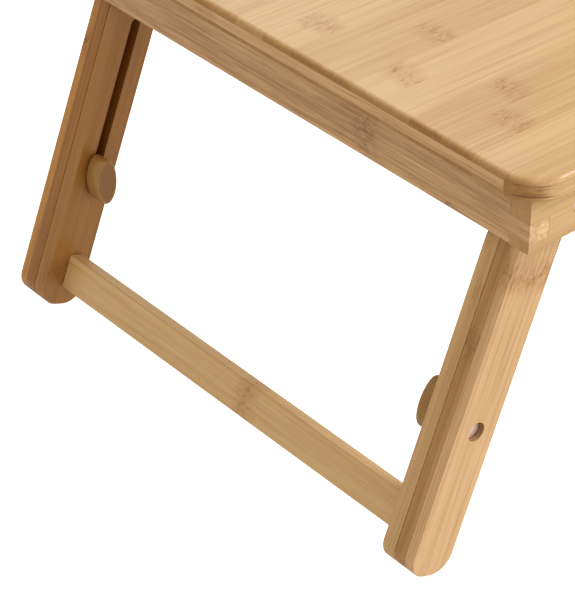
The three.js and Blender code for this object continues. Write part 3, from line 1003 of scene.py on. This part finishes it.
rings("pivot_washers", [c + "pivot_washer" for c in corners], ROUND_SIDES, "root")
rings("pivot_nuts", [c + "pivot_nut" for c in corners], NUT_SIDES, "root")
for end in ("left", "right"):
    nodes = [f"{end}_{side}_knob_washer" for side in ("front", "rear")]
    rings(end + "_knob_washers", nodes, ROUND_SIDES, end + "_upper_leg")

# ---------------------------------------------------------------------------------
# Knobs. Oval grips moulded in tan plastic round a brass insert, with a glossy rim, a
# rounded crest, and a shallow dish in the outer face that is left duller and painted browner as
# shade.

RIM_LIGHT, RIM_DARK = paint(170, 132, 78), paint(158, 118, 66)
FACE_SHADE_TAN = paint(144, 104, 62)
MOULD_DEPTH = 0.00004


def tan_plastic():
    """Plastic with a faint swirl from the mould and a fine grain."""
    material = new_material("tan_plastic")
    tree = material.node_tree
    here = object_place(tree)
    swirl = cloud(tree, here.scaled(60.0), 3.0, 0.55)
    grain = cloud(tree, here.scaled(1800.0), 2.0, 0.5)
    # Painted shade: the outer face, which looks along the bolt, is made browner than the rim.
    face = parts_of(tree, object_facing(tree))[1].absolute().rise(0.9, 0.97)
    rim = blend(tree, swirl.rise(0.3, 0.7), RIM_LIGHT, RIM_DARK)
    join(material, {
        "Base Color": blend(tree, face, rim, FACE_SHADE_TAN),
        "Roughness": 0.2 + swirl * 0.1 + grain * 0.05 + face * 0.15,
        "Normal": bumps(tree, grain, 0.25, MOULD_DEPTH),
    })
    return material


KNOB_STEPS = 64
# Share of the height, and how far in from the widest outline in millimetres, from the
# foot outwards.
KNOB_PROFILE = (
    (0.0, 1.0), (0.03, 0.35), (0.09, 0.0), (0.84, 0.0), (0.9, 0.15), (0.95, 0.5),
    (0.98, 1.0), (1.0, 1.7), (1.0, 1.9), (0.985, 2.1), (0.975, 2.8), (0.97, 5.0),
)
CREST_ANGLE = 0.9


def hoop(grip, middle, long_way, short_way):
    """A ring of corners on an oval, given by its middle and its two half widths."""
    made = []
    for step in range(KNOB_STEPS):
        angle = 2 * math.pi * step / KNOB_STEPS
        spot = middle + long_way * math.cos(angle) + short_way * math.sin(angle)
        made.append(grip.verts.new(spot))
    return made


def wall(grip, first, second):
    """Faces between two rings of corners."""
    for step in range(KNOB_STEPS):
        after = (step + 1) % KNOB_STEPS
        grip.faces.new((first[step], first[after], second[after], second[step]))


plastic = tan_plastic()
for corner in corners:
    node = corner + "knob"
    low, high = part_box(node)
    middle = (low + high) / 2
    insert_low, insert_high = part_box(corner + "knob_insert")
    if middle.y > 0:
        inward, middle.y, socket_end = -Y, high.y, insert_low.y - FIT
    else:
        inward, middle.y, socket_end = Y, low.y, insert_high.y + FIT
    outline = [vertex.co - middle for vertex in frame["nodes"][node].data.vertices]
    for spot in outline:
        spot.y = 0
    tip = max(outline, key=lambda spot: spot.length)
    long_way = tip.normalized()
    short_way = long_way.cross(Y)
    short_half = max(abs(spot.dot(short_way)) for spot in outline)

    grip = bmesh.new()
    hoops = [
        hoop(
            grip, middle + inward * share * (high.y - low.y),
            long_way * (tip.length - inset * MM), short_way * (short_half - inset * MM))
        for share, inset in KNOB_PROFILE
    ]
    for below, above in zip(hoops, hoops[1:]):
        wall(grip, below, above)
    grip.faces.new(hoops[-1])
    socket_radius = (insert_high.x - insert_low.x) / 2 + FIT
    socket_middle = Vector((middle.x, socket_end, middle.z))
    mouth, bottom = [
        hoop(grip, centre, long_way * socket_radius, short_way * socket_radius)
        for centre in (middle, socket_middle)
    ]
    wall(grip, hoops[0], mouth)
    wall(grip, mouth, bottom)
    grip.faces.new(bottom)
    bmesh.ops.recalc_face_normals(grip, faces=grip.faces)
    for face in grip.faces:
        face.smooth = True
    mesh = bpy.data.meshes.new(corner + "grip")
    grip.to_mesh(mesh)
    grip.free()
    mesh.set_sharp_from_angle(angle=CREST_ANGLE)
    mesh.materials.append(plastic)
    knob = link(corner + "grip", mesh)
    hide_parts(node)
    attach(knob, corner + "knob")

# ---------------------------------------------------------------------------------
# Knob inserts. Turned brass nuts that the plastic is moulded round, threaded on the
# clamp bolts, so that turning a knob draws the two slats of its leg together.

BRASS_BRIGHT, BRASS_TARNISHED = (0.72, 0.55, 0.25, 1), (0.5, 0.36, 0.16, 1)


def brass():
    """Metal with turned grooves round the insert and a little tarnish."""
    material = new_material("turned_brass")
    tree = material.node_tree
    here = object_place(tree)
    x, y, z = parts_of(tree, here)
    groove = cloud(tree, vector(tree, y * 5000.0, x * 40.0, z * 40.0), 2.0)
    tarnish = cloud(tree, here.scaled(300.0), 3.0, 0.6)
    surface = join(material, {
        "Base Color": blend(tree, tarnish.rise(0.35, 0.7), BRASS_BRIGHT, BRASS_TARNISHED),
        "Roughness": 0.28 + tarnish * 0.2,
        "Normal": bumps(tree, groove, 0.3, TURNING_DEPTH),
    })
    surface.inputs["Metallic"].default_value = 1
    return material


brass_finish = brass()
for corner in corners:
    insert = frame["nodes"][corner + "knob_insert"].data
    insert.materials.clear()
    insert.materials.append(brass_finish)
